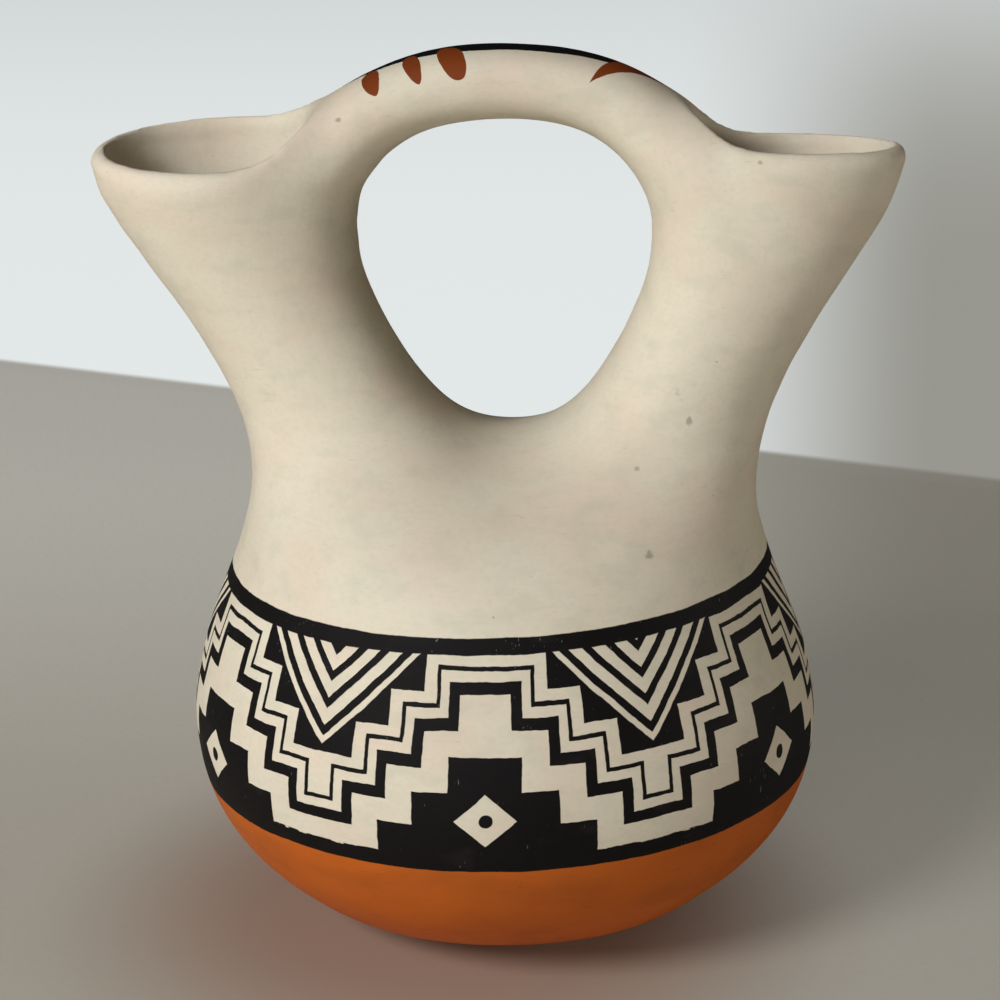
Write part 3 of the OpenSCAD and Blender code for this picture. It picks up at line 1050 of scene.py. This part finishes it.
def table_finish(stage, foot):
    """Pale table and paler ground far behind, in painted light and shade; foot is under the camera,
    in mm.
    """
    made = Finish("table", *TABLE_SURFACE)
    x, y, _ = [part / MM for part in made.parts(made.place)]
    across, along, distance = FAR_EDGE
    past = x * across + y * along - distance
    beyond = past.ramp(-FAR_FADE, FAR_FADE)
    ahead = y - foot.y
    aside = (x - foot.x) / (abs(ahead - BLIND) + BLIND)
    side = aside.ramp(*SHADE_SPAN)

    # The bowl's painted warm shade and bounce light on the table
    warm_x, warm_y, reach, fade = WARM_SHADE
    warm_x, warm_y = x - warm_x, y - warm_y
    warm = made.maths("SQRT", warm_x * warm_x + warm_y * warm_y).ramp(reach + fade, reach)
    grain = made.blots(*TABLE_GRAIN)
    in_colour, in_tone = GRAIN_STRENGTH
    # The table's colour, darker to the right in painted shade
    table = made.mix(side, stage.table, stage.table_shade)
    table = made.mix(grain * in_colour, table, stage.table_shade)
    table = made.mix(warm * WARM_STRENGTH, table, WARM_TONE)
    # The painted shadow line along the foot of the pale ground
    near, half, strength, shade = CORNER_SHADOW
    corner_shadow = (abs(past + near) - half).ramp(FAR_FADE, -FAR_FADE) * strength
    table = made.mix(corner_shadow, table, made.mix(shade, stage.table, stage.far_shade))

    # The pale ground's painted shade: dimmer far off, and darker to the right nearer the camera
    lift = ahead.ramp(*LIFT_SPAN)
    far = made.mix(lift, stage.far, scaled(FAR_DIM, stage.far))
    far = made.mix(aside.ramp(*FAR_SHADE_SPAN) * (1 - lift * FAR_LIFT), far, stage.far_shade)
    made.fill(made.shader.inputs["Base Color"], made.mix(beyond, table, far))

    # The table's painted light and shade, which camera rays see as its glow
    depth = ahead.ramp(*DEPTH_SPAN)
    tone = made.mix(depth, made.mix(side, *FRONT_PAINTED_SHADING), made.mix(side, *BACK_PAINTED_SHADING))
    tone = made.mix(warm, tone, scaled(WARM_DARK, WARM_TONE))
    tone = made.mix(grain * in_tone, tone, scaled(GRAIN_DARK, stage.table_shade))
    glow = made.node(
        "ShaderNodeBsdfPrincipled",
        None,
        {
            "Base Color": (0, 0, 0),
            "Specular IOR Level": 0,
            "Emission Color": made.mix(beyond, tone, far),
            "Emission Strength": 1,
        },
    )
    # Camera rays see that share of the grounds' painted light and shade as glow
    seen = made.tone("ShaderNodeLightPath", output="Is Camera Ray")
    own = seen * (beyond * (FAR_GLOW - GLOW) + GLOW)
    shaders = {0: own, 1: made.shader.outputs[0], 2: glow.outputs[0]}
    blend = made.node("ShaderNodeMixShader", None, shaders)
    made.fill(made.nodes["Material Output"].inputs["Surface"], blend.outputs[0])
    return made.material


def room_light(stage):
    """A room that fills the shadows, and that the camera sees as the pale ground."""
    world = bpy.data.worlds.new("room")
    room = Graph(world)
    seen = room.tone("ShaderNodeLightPath", output="Is Camera Ray")
    room.fill(room.nodes["Background"].inputs["Color"], room.mix(seen, stage.fill, stage.far))
    return world


# The lamps: place in m, size in m, power in W and colour; and the point that they shine at
LAMPS = (
    ("window_light", (-0.64, -0.69, 0.65), 0.4, 9.4, (1, 1, 1)),
    ("sill_light", (-0.2, -1.08, 0.133), 0.5, 2.1, (1, 0.99, 0.97)),
    ("wall_light", (1.098, 0, 0.133), 0.4, 2.9, (1, 0.93, 0.82)),
)
AIM = (0, 0, 75 * MM)


class VASE_OT_stage(bpy.types.Operator):
    """Set the vase on a table, with its camera and lights"""

    bl_idname = "vase.stage"
    bl_label = "Stage"

    def execute(self, context):
        stage = context.scene.vase_stage
        camera = make_camera(stage)
        table = bmesh.new()
        bmesh.ops.create_grid(table, x_segments=1, y_segments=1, size=TABLE_SIZE)
        mesh = bpy.data.meshes.new("table")
        table.to_mesh(mesh)
        table.free()
        mesh.materials.append(table_finish(stage, camera.matrix_world.translation / MM))
        build_object("table", mesh)
        for name, place, size, power, colour in LAMPS:
            make_lamp(name, place, AIM, size, power, colour)
        context.scene.world = room_light(stage)
        context.scene.view_settings.view_transform = "Standard"
        return {"FINISHED"}


OPERATORS = (
    VASE_OT_clay,
    VASE_OT_bowl,
    VASE_OT_wall,
    VASE_OT_shoulder,
    VASE_OT_spouts,
    VASE_OT_handle,
    VASE_OT_stage,
)
GROUPS = {"vase_clay": VaseClay, "vase_slip": VaseSlip, "vase_stage": VaseStage}


class VASE_PT_tools(bpy.types.Panel):
    """Lists the steps in which the vase is made"""

    bl_idname = "VASE_PT_tools"
    bl_label = "Wedding Vase"
    bl_space_type = "VIEW_3D"
    bl_region_type = "UI"
    bl_category = "Vase"

    def draw(self, context):
        for group in GROUPS:
            settings, box = getattr(context.scene, group), self.layout.box()
            for name in settings.bl_rna.properties.keys():
                if name not in ("rna_type", "name"):
                    box.prop(settings, name)
        for step in OPERATORS:
            self.layout.operator(step.bl_idname)


def register():
    for group in GROUPS.values():
        bpy.utils.register_class(group)
    for name, group in GROUPS.items():
        setattr(bpy.types.Scene, name, PointerProperty(type=group))
    for step in (*OPERATORS, VASE_PT_tools):
        bpy.utils.register_class(step)


def unregister():
    for step in (VASE_PT_tools, *reversed(OPERATORS)):
        bpy.utils.unregister_class(step)
    for name, group in GROUPS.items():
        delattr(bpy.types.Scene, name)
        bpy.utils.unregister_class(group)


def main():
    register()
    for step in OPERATORS:
        area, name = step.bl_idname.split(".")
        getattr(getattr(bpy.ops, area), name)()
    bpy.data.meshes.remove(bpy.data.meshes[CLAY])


if __name__ == "__main__":
    main()
